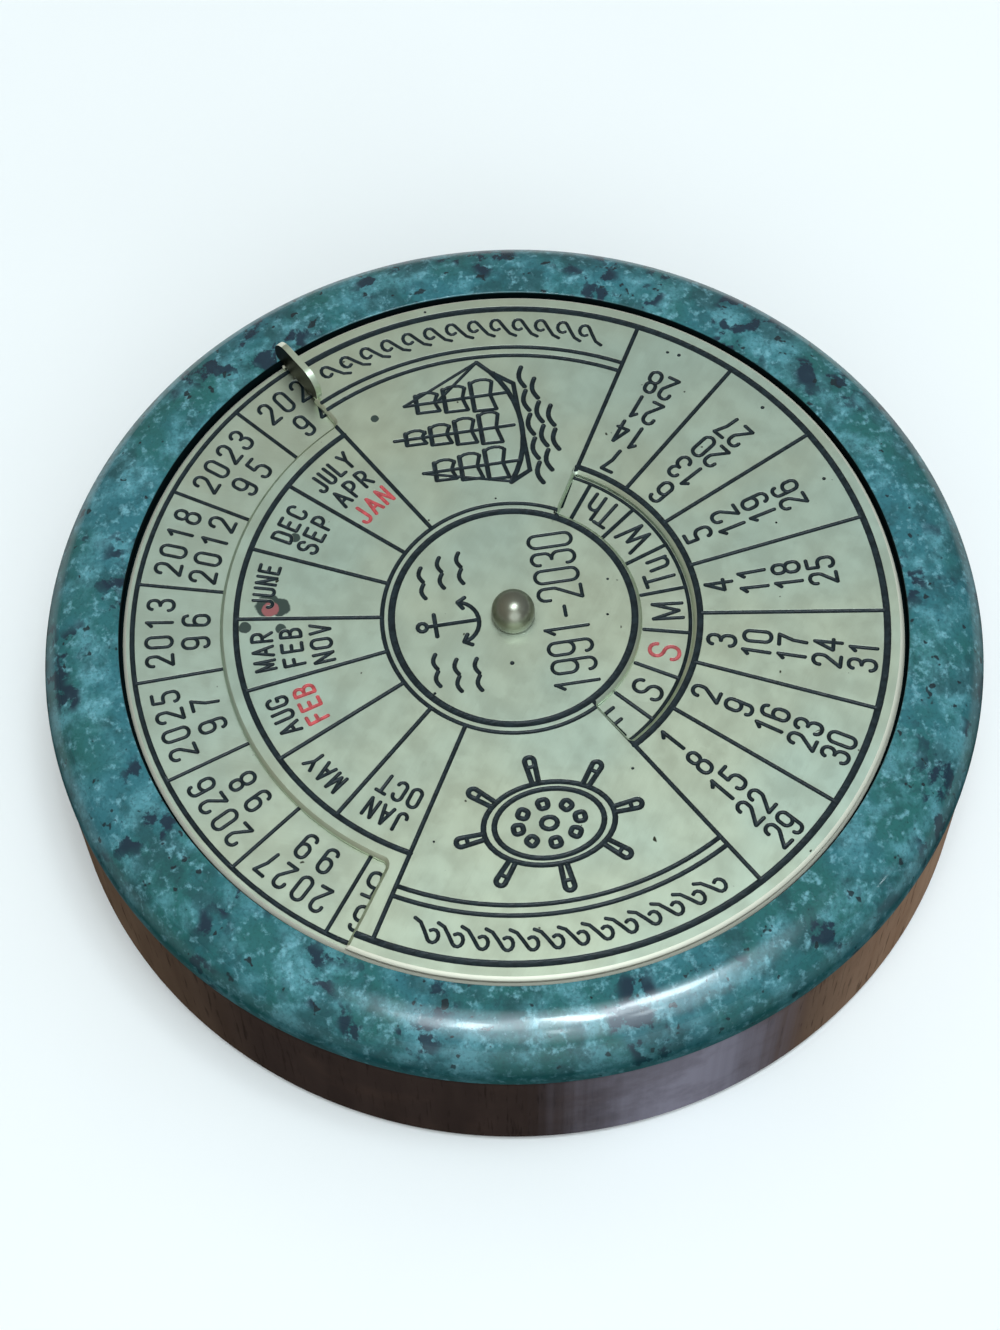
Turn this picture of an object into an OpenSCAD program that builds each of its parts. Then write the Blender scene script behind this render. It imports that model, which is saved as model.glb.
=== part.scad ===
// Perpetual desk calendar.
// A marble slab on a turned wooden base carries two etched brass plates. The lower
// plate is glued into the slab's recess and carries the years and the days of the
// week. The upper plate turns on a domed pin, and shows them through a notch at its
// rim and a curved window round its middle.
// Lengths are millimetres, angles are degrees counted anticlockwise from +X.
// Z is up, and the origin is the centre of the underside.

/* [Body] */
// Diameter of the marble slab
slab_d = 85.2; // [80:0.2:100]
// Thickness of the marble slab
slab_t = 4.7; // [4.4:0.1:8]
// Radius of the flatter, upper part of the slab's rounded rim
rim_top_r = 7.5; // [5:0.5:8]
// Angle that the upper part of the rounded rim turns through
rim_top_turn = 30; // [10:1:40]
// Radius of the tighter, outer part of the slab's rounded rim
rim_side_r = 3.2; // [2:0.1:3.3]
// Bevel round the slab's lower edge
slab_arris = 0.3; // [0.1:0.05:0.5]

/* [Wooden base] */
// How far the wooden base stands in from the slab's edge
base_inset = 0.1; // [0:0.05:1]
// Height of the wooden base
base_h = 14.1; // [12:0.1:20]
// Bevel round the base's upper edge
base_top_bevel = 0.4; // [0.1:0.1:1]
// Bevel round the base's lower edge
base_foot_bevel = 0.6; // [0.2:0.1:1.5]
// Thickness of the adhesive disc between the slab and the base
bond_t = 0.3; // [0.1:0.05:0.6]
// How far the adhesive disc stops short of the slab's edge
bond_inset = 0.7; // [0.4:0.1:3]

/* [Felt pad] */
// Diameter of the felt pad
felt_d = 78; // [60:1:79]
// Thickness of the felt pad
felt_t = 1.2; // [0.8:0.1:3]
// Depth of the shallow well that the felt pad is glued into
felt_well = 0.8; // [0.3:0.1:1]
// Gap all round between the felt pad and its well
felt_gap = 0.4; // [0.2:0.1:1]

/* [Plates] */
// Diameter of the dial plate
dial_d = 70; // [68:0.5:71]
// Thickness of the dial plate
dial_t = 0.6; // [0.4:0.05:1]
// How far the year plate shows beyond the dial plate's rim
year_ledge = 0.2; // [0:0.05:0.5]
// Thickness of the year plate
year_t = 0.6; // [0.4:0.05:1]
// Thickness of the adhesive disc under the year plate
tape_t = 0.1; // [0.05:0.05:0.3]
// How far that adhesive disc stops short of the year plate's rim
tape_inset = 2; // [0.5:0.5:5]
// Gap between the year plate's rim and the wall of the slab's recess
recess_gap = 0.3; // [0.2:0.1:1.2]
// Thickness of the slip washer between the two plates
slip_t = 0.1; // [0.05:0.05:0.3]
// Diameter of the slip washer
slip_d = 18; // [12:1:21]

/* [Windows in the dial plate] */
// Radius at which the year notch starts
notch_r = 26.4; // [25.6:0.1:28]
// Angle of the year notch's first end, where the tab stands
notch_from = 29.5; // [20:0.5:40]
// Angle of the year notch's second end
notch_to = 146.8; // [130:0.1:149]
// Inner radius of the window for the days of the week
day_window_in = 11.6; // [11.4:0.1:12.5]
// Outer radius of the window for the days of the week
day_window_out = 16.2; // [15:0.1:16.4]
// Angle of the day window's first end
day_window_from = 210.3; // [200:0.1:220]
// Angle of the day window's second end
day_window_to = 330.2; // [320:0.1:340]

/* [Finger tab] */
// Height of the finger tab above the dial plate's face
tab_h = 3.3; // [3:0.1:6]
// Radius at which the finger tab starts
tab_in = 29.4; // [28:0.1:31]
// Radius at which the finger tab ends
tab_out = 35.9; // [35:0.1:37]
// Radius of the tab's upper corners
tab_corner_r = 1.9; // [0.6:0.1:2]
// Radius of the tab's lower corners
tab_foot_r = 0.45; // [0.2:0.05:0.6]
// Height of the tab's lower corners above the dial plate's face
tab_rise = 0.35; // [0.25:0.05:0.6]
// Radius at which the neck below the tab starts
neck_in = 29.9; // [29:0.1:31]
// Radius at which the neck below the tab ends
neck_out = 34.6; // [33:0.1:34.7]
// Inside radius of the tab's bend
bend_r = 0.3; // [0.1:0.05:0.6]

/* [Pivot pin] */
// Diameter of the pin's shank
pin_d = 2.5; // [2:0.1:3]
// Diameter of the pin's domed head
head_d = 3.9; // [3.4:0.1:6]
// Height of the straight part below the head's dome
head_stub = 0.85; // [0.4:0.05:1.5]
// Clearance under the pin's head, so that the dial plate turns
head_play = 0.03; // [0.02:0.01:0.1]
// Radial clearance of the dial plate on the pin
dial_play = 0.05; // [0.02:0.01:0.08]
// Radial clearance of the bore through the slab and the base
bore_play = 0.5; // [0.2:0.1:1]
// Radial clearance of the hole in the year plate
year_play = 0.15; // [0.1:0.05:0.5]
// Radial clearance of the slip washer on the pin
slip_play = 0.1; // [0.05:0.05:0.3]
// Length of the thread at the pin's lower end
thread_l = 5.4; // [4:0.1:8]
// Pitch of the thread
thread_pitch = 0.45; // [0.35:0.05:0.6]
// Depth of the thread
thread_depth = 0.24; // [0.1:0.02:0.3]
// How far the pin's end stands out below the nut
pin_end = 0.6; // [0.2:0.1:1]

/* [Nut and washers] */
// Diameter of the well for the nut in the base's underside
nut_well_d = 12; // [10:0.5:16]
// Depth of that well
nut_well_h = 6; // [5:0.1:8]
// Width of the nut across its flats
nut_af = 5; // [4:0.1:7]
// Thickness of the nut
nut_t = 2; // [1.5:0.1:2.4]
// Radial clearance of the nut's thread on the pin
thread_play = 0.02; // [0.01:0.01:0.05]
// Diameter of the flat washer
washer_d = 6.5; // [5.5:0.1:8]
// Thickness of the flat washer
washer_t = 0.5; // [0.3:0.1:0.8]
// Diameter of the spring washer
spring_d = 5.1; // [4.6:0.1:6]
// Thickness of the spring washer
spring_t = 0.6; // [0.4:0.1:0.8]
// Width of the split in the spring washer
spring_split = 0.5; // [0.3:0.1:0.8]
// Radial clearance of both washers on the pin
washer_play = 0.15; // [0.1:0.05:0.3]

/* [Etched lines] */
// Width of the etched lines
line_w = 0.45; // [0.2:0.05:0.8]
// Depth of the etched lines
line_depth = 0.12; // [0.05:0.01:0.2]
// Radius of the dial plate's outer ring
dial_ring_r = 33.6; // [33:0.1:33.8]
// Radius of the arc outside the months
month_arc_r = 25; // [22:0.1:25.2]
// Radius of the arc inside the dates
date_arc_r = 16.8; // [16.7:0.1:18]
// Radius of the ring round the middle
hub_ring_r = 10.9; // [10:0.1:11]
// Distance from that ring to the thinner one that runs on from the day window's inner edge
hub_ring_step = 0.9; // [0.7:0.05:1.2]
// Radius of the first arc of the two plain sectors
sector_arc_r = 28.2; // [26:0.1:29]
// Distance between the two arcs of the plain sectors
sector_arc_step = 0.95; // [0.7:0.05:3]
// Radius of the year plate's outer ring
year_ring_r = 34.4; // [33.8:0.1:34.8]
// Radius of the ring outside the days of the week
day_ring_r = 15.95; // [14.5:0.05:16.2]
// Angle of the first line between two years
year_phase = 5.9; // [0:0.1:17]
// Angle of the first line between two days of the week
day_phase = 15.5; // [0:0.1:17]

/* [Hidden] */
$fn = 128;

// Seven columns for the days of the week repeat three times round the year plate.
week = 7;
column_angle = 360 / (3 * week);
// A third of the turn holds the months and another third the dates.
sector_half = week * column_angle / 2;
months_mid = 90;
dates_mid = 270;

slab_r = slab_d / 2;
base_r = slab_r - base_inset;
dial_r = dial_d / 2;
year_r = dial_r + year_ledge;
recess_r = year_r + recess_gap;
pin_r = pin_d / 2;
head_r = head_d / 2;
bore_r = pin_r + bore_play;

// Heights, from the underside up.
felt_proud = felt_t - felt_well;
base_z = felt_proud;
bond_z = base_z + base_h;
slab_z = bond_z + bond_t;
face_z = slab_z + slab_t;
dial_z = face_z - dial_t;
slip_z = dial_z - slip_t;
year_z = slip_z - year_t;
tape_z = year_z - tape_t;
head_z = face_z + head_play;
washer_z = base_z + nut_well_h - washer_t;
spring_z = washer_z - spring_t;
nut_z = spring_z - nut_t;
pin_z = nut_z - pin_end;

// Width and height of the slab's rounded rim.
rim_width = rim_top_r * sin(rim_top_turn) + rim_side_r * (1 - sin(rim_top_turn));
rim_drop = rim_top_r * (1 - cos(rim_top_turn)) + rim_side_r * cos(rim_top_turn);

// Reach of a cut past a face.
past = 1;

// A disc with its lower face at z.
module disc(r, h, z) {
    translate([0, 0, z]) cylinder(r = r, h = h);
}

// A washer with its lower face at z.
module washer(r, hole_r, h, z) {
    difference() {
        disc(r, h, z);
        disc(hole_r, h + 2 * past, z - past);
    }
}

// A curved bar of square section between two radii and two angles.
module arc_bar(r_in, r_out, from, to, h, z) {
    rotate([0, 0, from])
        rotate_extrude(angle = to - from)
            translate([r_in, z])
                square([r_out - r_in, h]);
}

// A flat ring as wide as an etched line.
module ring_line(r) {
    difference() {
        circle(r = r + line_w / 2);
        circle(r = r - line_w / 2);
    }
}

// A flat wedge from the middle, half of it on each side of an angle.
module wedge(mid, half, r) {
    reach = 2 * r / cos(half / 2);
    polygon([[0, 0],
             [reach * cos(mid - half), reach * sin(mid - half)],
             [reach * cos(mid), reach * sin(mid)],
             [reach * cos(mid + half), reach * sin(mid + half)]]);
}

// A flat arc line about the middle of a sector.
module arc_line(r, mid, half) {
    intersection() {
        ring_line(r);
        wedge(mid, half, r);
    }
}

// A flat line that runs out from the middle.
module spoke_line(angle, r_in, r_out) {
    rotate(angle)
        translate([r_in, -line_w / 2])
            square([r_out - r_in, line_w]);
}

// Etches flat lines into a face at z.
module etch(z) {
    translate([0, 0, z - line_depth]) linear_extrude(line_depth + past) children();
}

// The year plate's lines: a ring and the spokes between the years, and the same for the days.
module year_lines() {
    ring_line(year_ring_r);
    ring_line(day_ring_r);
    for (i = [0 : 3 * week - 1]) {
        spoke_line(year_phase + i * column_angle, notch_r, year_ring_r);
        spoke_line(day_phase + i * column_angle, day_window_in, day_ring_r);
    }
}

// The dial plate's lines: two rings, the months, the dates and the two plain sectors.
module dial_lines() {
    ring_line(dial_ring_r);
    ring_line(hub_ring_r);
    difference() {
        ring_line(hub_ring_r + hub_ring_step);
        wedge(dates_mid, sector_half, slab_r);
    }
    arc_line(month_arc_r, months_mid, sector_half);
    arc_line(date_arc_r, dates_mid, sector_half);
    for (mid = [0, 180], step = [0, sector_arc_step])
        arc_line(sector_arc_r + step, mid, sector_half / 2);
    for (i = [0 : week]) {
        outer_r = (i == 0 || i == week) ? dial_ring_r : month_arc_r;
        spoke_line(months_mid - sector_half + i * column_angle, hub_ring_r, outer_r);
        spoke_line(dates_mid - sector_half + i * column_angle, date_arc_r, dial_ring_r);
    }
}

// The slab's half section. Its rounded rim is two arcs that meet without a corner.
module slab_section() {
    side_y = slab_t - rim_drop;
    top_x = slab_r - rim_width;
    meet_x = top_x + rim_top_r * sin(rim_top_turn);
    difference() {
        union() {
            square([top_x, slab_t]);
            // Upper, flatter arc.
            intersection() {
                translate([top_x, slab_t - rim_top_r]) circle(r = rim_top_r);
                translate([top_x, 0]) square([meet_x - top_x, slab_t]);
            }
            // Outer, tighter arc.
            intersection() {
                translate([slab_r - rim_side_r, side_y]) circle(r = rim_side_r);
                translate([meet_x, side_y]) square([rim_side_r, slab_t]);
            }
            translate([meet_x, 0]) square([slab_r - meet_x, side_y]);
        }
        translate([slab_r, 0]) rotate([0, 0, 45]) square(slab_arris * sqrt(2), center = true);
    }
}

// The tab's outline: a rounded blade on a narrower neck.
module tab_outline() {
    low = tab_rise;
    union() {
        translate([tab_in, low + tab_foot_r])
            square([tab_out - tab_in, tab_h - low - tab_foot_r - tab_corner_r]);
        translate([tab_in + tab_corner_r, low + tab_foot_r])
            square([tab_out - tab_in - 2 * tab_corner_r, tab_h - low - tab_foot_r]);
        translate([tab_in + tab_foot_r, low])
            square([tab_out - tab_in - 2 * tab_foot_r, 2 * tab_foot_r]);
        for (x = [tab_in + tab_corner_r, tab_out - tab_corner_r])
            translate([x, tab_h - tab_corner_r]) circle(r = tab_corner_r);
        for (x = [tab_in + tab_foot_r, tab_out - tab_foot_r])
            translate([x, low + tab_foot_r]) circle(r = tab_foot_r);
        translate([neck_in, bend_r]) square([neck_out - neck_in, low + tab_foot_r - bend_r]);
    }
}

// The tab stands on the plate's face: its outer side lies in the plane y = 0.
module tab() {
    translate([0, 0, face_z]) rotate([90, 0, 0]) linear_extrude(dial_t) tab_outline();
    // The bend, a quarter of a tube along the neck.
    translate([neck_in, -dial_t - bend_r, face_z + bend_r])
        rotate([90, 0, 90])
            linear_extrude(neck_out - neck_in)
                difference() {
                    intersection() {
                        circle(r = dial_t + bend_r);
                        translate([0, -dial_t - bend_r]) square(dial_t + bend_r);
                    }
                    circle(r = bend_r);
                }
}

module felt_pad() {
    color([0.10, 0.27, 0.20])
        disc(felt_d / 2, felt_t, 0);
}

module wood_base() {
    color([0.26, 0.17, 0.12])
        difference() {
            rotate_extrude()
                polygon([[0, base_z], [base_r - base_foot_bevel, base_z], [base_r, base_z + base_foot_bevel],
                         [base_r, bond_z - base_top_bevel], [base_r - base_top_bevel, bond_z], [0, bond_z]]);
            disc(felt_d / 2 + felt_gap, felt_well + past, base_z - past);
            disc(nut_well_d / 2, nut_well_h + past, base_z - past);
            disc(bore_r, base_h + 2 * past, base_z - past);
        }
}

module bond_disc() {
    color([0.12, 0.11, 0.10])
        washer(slab_r - bond_inset, bore_r, bond_t, bond_z);
}

module marble_slab() {
    color([0.27, 0.53, 0.53])
        difference() {
            translate([0, 0, slab_z]) rotate_extrude() slab_section();
            disc(recess_r, face_z - tape_z + past, tape_z);
            disc(bore_r, slab_t + 2 * past, slab_z - past);
        }
}

module plate_tape() {
    color([0.80, 0.78, 0.70])
        washer(year_r - tape_inset, bore_r, tape_t, tape_z);
}

module year_plate() {
    color([0.74, 0.76, 0.62])
        difference() {
            disc(year_r, year_t, year_z);
            disc(pin_r + year_play, year_t + 2 * past, year_z - past);
            etch(year_z + year_t) year_lines();
        }
}

module slip_washer() {
    color([0.85, 0.84, 0.80])
        washer(slip_d / 2, pin_r + slip_play, slip_t, slip_z);
}

module dial_plate() {
    color([0.70, 0.73, 0.60]) {
        difference() {
            disc(dial_r, dial_t, dial_z);
            disc(pin_r + dial_play, dial_t + 2 * past, dial_z - past);
            arc_bar(notch_r, dial_r + past, notch_from, notch_to, dial_t + 2 * past, dial_z - past);
            arc_bar(day_window_in, day_window_out, day_window_from, day_window_to,
                    dial_t + 2 * past, dial_z - past);
            // The bend takes the place of this strip of the plate.
            rotate([0, 0, notch_from])
                translate([neck_in, -dial_t - bend_r, dial_z - past])
                    cube([neck_out - neck_in, dial_t + bend_r + past, dial_t + 2 * past]);
            etch(face_z) dial_lines();
        }
        rotate([0, 0, notch_from]) tab();
    }
}

module pivot_pin() {
    turns = floor(thread_l / thread_pitch);
    color([0.62, 0.61, 0.58])
        rotate_extrude()
            union() {
                // Thread: rings of the full diameter over a thinner core.
                translate([0, pin_z]) square([pin_r - thread_depth, face_z - pin_z]);
                for (i = [0 : turns - 1])
                    translate([0, pin_z + i * thread_pitch])
                        polygon([[0, 0], [pin_r - thread_depth, 0], [pin_r, thread_pitch / 2],
                                 [pin_r - thread_depth, thread_pitch], [0, thread_pitch]]);
                // Shank and head.
                translate([0, pin_z + turns * thread_pitch])
                    square([pin_r, head_z - pin_z - turns * thread_pitch]);
                translate([0, head_z]) square([head_r, head_stub]);
                translate([0, head_z + head_stub]) intersection() {
                    circle(r = head_r);
                    square(head_r);
                }
            }
}

module flat_washer() {
    color("silver")
        washer(washer_d / 2, pin_r + washer_play, washer_t, washer_z);
}

module spring_washer() {
    color("dimgray")
        difference() {
            washer(spring_d / 2, pin_r + washer_play, spring_t, spring_z);
            translate([0, -spring_split / 2, spring_z - past])
                cube([spring_d, spring_split, spring_t + 2 * past]);
        }
}

module pin_nut() {
    color("silver")
        difference() {
            translate([0, 0, nut_z]) cylinder(d = nut_af / cos(30), h = nut_t, $fn = 6);
            disc(pin_r + thread_play, nut_t + 2 * past, nut_z - past);
        }
}

felt_pad();
wood_base();
bond_disc();
marble_slab();
plate_tape();
year_plate();
slip_washer();
dial_plate();
pivot_pin();
flat_washer();
spring_washer();
pin_nut();
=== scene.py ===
# %% [markdown]
# # A perpetual desk calendar
#
# The calendar is a marble slab on a turned wooden base. Two thin brass plates lie in a recess
# in the slab. The lower one is glued down and carries the years and the days of the week. The
# upper one turns on a domed pin: its notch shows a third of the years, and its window one week.
#
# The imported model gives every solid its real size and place. This lesson dresses it: the pieces
# that show are modelled again with rounded edges and engraving, and the rest get a finish.

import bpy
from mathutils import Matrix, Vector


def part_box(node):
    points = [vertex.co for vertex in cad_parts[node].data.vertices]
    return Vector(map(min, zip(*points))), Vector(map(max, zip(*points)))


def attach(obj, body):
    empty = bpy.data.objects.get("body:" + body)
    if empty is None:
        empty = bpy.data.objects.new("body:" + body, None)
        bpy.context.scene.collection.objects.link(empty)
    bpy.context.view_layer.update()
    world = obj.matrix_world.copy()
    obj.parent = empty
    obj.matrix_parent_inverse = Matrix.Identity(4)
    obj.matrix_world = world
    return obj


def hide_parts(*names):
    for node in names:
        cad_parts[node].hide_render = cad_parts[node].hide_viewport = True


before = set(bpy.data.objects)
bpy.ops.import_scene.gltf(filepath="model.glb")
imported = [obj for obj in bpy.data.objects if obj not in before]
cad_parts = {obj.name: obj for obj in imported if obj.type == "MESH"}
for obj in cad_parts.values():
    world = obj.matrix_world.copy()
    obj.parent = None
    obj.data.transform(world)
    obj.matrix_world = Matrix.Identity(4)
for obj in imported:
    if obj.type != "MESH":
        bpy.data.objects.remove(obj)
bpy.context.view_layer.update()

# %% [markdown]
# ## Sizes come from the model
#
# Lengths below are millimetres, because that is how the object was drawn, and MM turns them
# into Blender's metres. A height or a radius that the model already has is read from it, so a
# piece still fits if the model changes. Angles are degrees, anticlockwise from +X.

# %% Sizes
import math

import bmesh
import bpy
import numpy as np
from mathutils import Matrix, Vector

MM = 0.001


def bottom(node):
    """Height of a node's underside, in millimetres."""
    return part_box(node)[0].z / MM


def top(node):
    """Height of a node's upper side, in millimetres."""
    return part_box(node)[1].z / MM


def reach(node):
    """Radius of a round node, in millimetres."""
    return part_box(node)[1].y / MM


slab_r = reach("marble_slab")
base_r = reach("wood_base")
year_r = reach("year_plate")
face_z = top("marble_slab")
year_face_z = top("year_plate")
dial_z = top("slip_washer")
recess_z = bottom("plate_tape")
dial_r = 35.0            # the notch takes away the side that its box would be read from
plate_t = face_z - dial_z
print(f"slab radius {slab_r:.1f}, face at {face_z:.1f}, year plate's face at {year_face_z:.1f} mm")

# %% [markdown]
# ## Working as at the screen
#
# Blender's operators act on what is selected, as they do under the mouse. So each step first
# selects exactly what it needs: one object in object mode, or the vertices, edges or faces at
# a certain place in edit mode. These small helpers do the clicking.

# %% Selecting
def only(obj):
    """Selects one object and nothing else."""
    if bpy.context.mode != "OBJECT":
        bpy.ops.object.mode_set(mode="OBJECT")
    bpy.ops.object.select_all(action="DESELECT")
    obj.select_set(True)
    bpy.context.view_layer.objects.active = obj


def edit(obj):
    """Opens an object in edit mode with nothing selected."""
    only(obj)
    bpy.ops.object.mode_set(mode="EDIT")
    bpy.ops.mesh.select_all(action="DESELECT")


def pick(obj, kind, test):
    """Selects the verts, edges or faces that pass a test on their middle, in millimetres."""
    mesh = bmesh.from_edit_mesh(obj.data)
    bpy.ops.mesh.select_all(action="DESELECT")
    bpy.context.tool_settings.mesh_select_mode = [kind == k for k in ("verts", "edges", "faces")]
    count = 0
    for part in getattr(mesh, kind):
        corners = [v.co / MM for v in getattr(part, "verts", [part])]
        if test(*corners) if kind == "edges" else test(sum(corners, Vector()) / len(corners)):
            part.select_set(True)
            count += 1
    mesh.select_flush_mode()
    bmesh.update_edit_mesh(obj.data)
    return count


def slice_at(x, y, z, normal, **settings):
    """Cuts the whole open mesh along a plane through a place in millimetres."""
    bpy.ops.mesh.select_all(action="SELECT")
    bpy.ops.mesh.bisect(plane_co=(x * MM, y * MM, z * MM), plane_no=normal, threshold=1e-7, **settings)


def pull(x, y, z):
    """Extrudes what is selected by a step in millimetres."""
    bpy.ops.mesh.extrude_region_move(TRANSFORM_OT_translate={"value": (x * MM, y * MM, z * MM)})


def done(obj, merge=0.0001):
    """Merges doubles, points every face outwards and leaves edit mode."""
    bpy.ops.mesh.select_all(action="SELECT")
    bpy.ops.mesh.remove_doubles(threshold=merge * MM)
    bpy.ops.mesh.normals_make_consistent(inside=False)
    bpy.ops.object.mode_set(mode="OBJECT")
    return obj


def report(obj):
    """Prints how many faces a piece has and whether it is closed."""
    mesh = bmesh.new()
    mesh.from_mesh(obj.data)
    loose = sum(not e.is_manifold for e in mesh.edges)
    triangles = sum(len(f.verts) - 2 for f in mesh.faces)
    print(f"{obj.name}: {triangles} triangles, {loose} open edges, {mesh.calc_volume() / MM ** 3:.1f} mm3")
    mesh.free()


# %% [markdown]
# ## Three ways of making a round thing
#
# A disc is a cylinder primitive. A turned body starts as half of its section: a plane that
# stands on the XZ plane, whose corners are bevelled, and which is then spun round Z, as on a
# lathe. A curved bar is a plane too, spun through part of a turn.

# %% Discs, sections and bars
def apply_place(obj):
    """Writes an object's place, turn and size into its mesh."""
    only(obj)
    bpy.ops.object.transform_apply(location=True, rotation=True, scale=True)
    return obj


def disc(name, radius, low, high, sides=256):
    """An upright cylinder between two heights."""
    bpy.ops.mesh.primitive_cylinder_add(
        vertices=sides, radius=radius * MM, depth=(high - low) * MM,
        location=(0, 0, (low + high) / 2 * MM))
    bpy.context.object.name = name
    return apply_place(bpy.context.object)


def section(name, x_low, x_high, z_low, z_high):
    """An upright rectangle on the XZ plane."""
    bpy.ops.mesh.primitive_plane_add(
        size=MM, location=((x_low + x_high) / 2 * MM, 0, (z_low + z_high) / 2 * MM),
        rotation=(math.radians(90), 0, 0))
    piece = bpy.context.object
    piece.name = name
    piece.scale = (x_high - x_low, z_high - z_low, 1)
    return apply_place(piece)


def at(x=None, z=None, slack=0.01):
    """A test for a vertex of a section by its place."""
    return lambda p: (x is None or abs(p.x - x) < slack) and (z is None or abs(p.z - z) < slack)


def round_corner(obj, x, z, offset, segments):
    """Rounds one corner of a section. The offset is how far from the corner the arc starts."""
    pick(obj, "verts", at(x, z))
    bpy.ops.mesh.bevel(offset=offset * MM, offset_type="OFFSET", segments=segments,
                       profile=0.5, affect="VERTICES")


def turn(obj, sides=256):
    """Spins a half section's outline round Z into a closed body."""
    bpy.ops.mesh.select_all(action="SELECT")
    bpy.ops.mesh.dissolve_faces()
    bpy.ops.mesh.delete(type="ONLY_FACE")
    if pick(obj, "edges", lambda a, b: abs(a.x) < 1e-4 and abs(b.x) < 1e-4):
        bpy.ops.mesh.delete(type="EDGE")
    bpy.ops.mesh.select_all(action="SELECT")
    bpy.ops.mesh.spin(steps=sides, angle=math.radians(360), center=(0, 0, 0), axis=(0, 0, 1))
    return done(obj)


def angle_of(p):
    """Angle of a point round Z, from 0 to 360 degrees."""
    return math.degrees(math.atan2(p.y, p.x) + 1e-6) % 360


def curved_bar(name, r_in, r_out, start, end, low, high, corner):
    """A bar that runs round Z between two angles, with rounded upright corners."""
    bar = section(name, r_in, r_out, low, high)
    edit(bar)
    bpy.ops.mesh.select_all(action="SELECT")
    bpy.ops.mesh.spin(steps=int(end - start), angle=-math.radians(end - start),
                      center=(0, 0, 0), axis=(0, 0, 1))

    def is_upright_at_an_end(a, b):
        turned = angle_of(a)
        return abs(a.z - b.z) > (high - low) / 2 and min(abs(turned), abs(turned - end + start)) < 0.1

    pick(bar, "edges", is_upright_at_an_end)
    bpy.ops.mesh.bevel(offset=corner * MM, segments=6, profile=0.5, affect="EDGES")
    done(bar)
    bar.rotation_euler.z = math.radians(start)
    return apply_place(bar)


# %% [markdown]
# ## Cutting, joining and shading
#
# A cut is a Boolean modifier that is applied at once. The Manifold solver is quick and always
# leaves a closed mesh, and it carries the tool's material to the faces that the tool leaves,
# which is how the engraving gets its enamel. A rounded edge then needs soft shading across the
# arc but not across a crisp edge, and flat faces should stay flat: smoothing by angle does the
# first, and the Weighted Normal modifier the second.

# %% Cut, join and smooth
def combine(obj, tool, operation="DIFFERENCE"):
    """Cuts a tool out of a piece, or joins it on, and removes the tool."""
    only(obj)
    cut = obj.modifiers.new(operation.lower(), "BOOLEAN")
    cut.operation = operation
    cut.object = tool
    cut.solver = "MANIFOLD"
    cut.material_mode = "TRANSFER"
    bpy.ops.object.modifier_apply(modifier=cut.name)
    bpy.data.objects.remove(tool)
    return obj


def ease_rims(obj, height, offset, profile=0.5):
    """Rounds the sharp edges round a flat face at a height."""
    edit(obj)
    bpy.ops.mesh.select_all(action="SELECT")
    bpy.ops.mesh.remove_doubles(threshold=0.002 * MM)
    bpy.ops.mesh.select_all(action="DESELECT")
    mesh = bmesh.from_edit_mesh(obj.data)
    bpy.context.tool_settings.mesh_select_mode = (False, True, False)
    for e in mesh.edges:
        on_face = all(abs(v.co.z / MM - height) < 0.005 for v in e.verts)
        if on_face and len(e.link_faces) == 2 and e.calc_face_angle() > 1:
            e.select_set(True)
    bmesh.update_edit_mesh(obj.data)
    bpy.ops.mesh.bevel(offset=offset * MM, segments=3, profile=profile, affect="EDGES")
    bpy.ops.object.mode_set(mode="OBJECT")


def smooth(obj, degrees=35):
    """Shades a piece softly, except across edges that are sharper than an angle."""
    only(obj)
    bpy.ops.object.shade_smooth_by_angle(angle=math.radians(degrees))
    weigh = obj.modifiers.new("weigh", "WEIGHTED_NORMAL")
    weigh.keep_sharp = True
    bpy.ops.object.modifier_apply(modifier=weigh.name)
    return obj


def finish_with(obj, *materials):
    """Gives a piece its materials in slot order."""
    obj.data.materials.clear()
    for material in materials:
        obj.data.materials.append(material)
    return obj


# %% [markdown]
# ## The marble slab
#
# The real slab was sawn from green marble, turned, and polished. Its upper rim rolls over in
# two arcs: a wide, flat one that starts on the face and a tighter one that meets the wall. The
# half section gets a sloping corner with a bisect, each end of the slope is rounded by its own
# vertex bevel, and the lathe does the rest. The recess and the bore are cut afterwards.

# %% Marble slab
slab_z = bottom("marble_slab")
rim_slope = math.radians(30)    # below level, of the line that the two arcs share
rim_top_r = 7.5
rim_side_r = 3.2
rim_top_offset = rim_top_r * math.tan(rim_slope / 2)
rim_side_offset = rim_side_r * math.tan(math.radians(45) - rim_slope / 2)
slope_length = rim_top_offset + rim_side_offset
slope_x = slab_r - slope_length * math.cos(rim_slope)
slope_z = face_z - slope_length * math.sin(rim_slope)
recess_r = year_r + 0.3         # the year plate lies in it with this much room
bore_r = 1.75

slab = section("slab_polished", 0, slab_r, slab_z, face_z)
edit(slab)
slice_at(slope_x, 0, face_z, (math.sin(rim_slope), 0, math.cos(rim_slope)), clear_outer=True)
round_corner(slab, slope_x, face_z, rim_top_offset, 12)
round_corner(slab, slab_r, slope_z, rim_side_offset, 14)
round_corner(slab, slab_r, slab_z, 0.2, 3)
turn(slab)
combine(slab, disc("recess", recess_r, recess_z, face_z + 1))
combine(slab, disc("bore", bore_r, slab_z - 1, face_z, 48))
ease_rims(slab, face_z, 0.1)
smooth(slab)
report(slab)

# %% [markdown]
# ## The wooden base and the felt
#
# The base is one turned block, stained dark and lacquered. Its edges are eased, and its
# underside has a well for the nut and a shallow one for the felt. The felt is a die-cut disc:
# a cylinder whose flat faces are inset ring by ring, so that none of them is one huge polygon,
# and whose rims are rounded, because felt has no crisp edge. Its fibres come with its finish.

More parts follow.
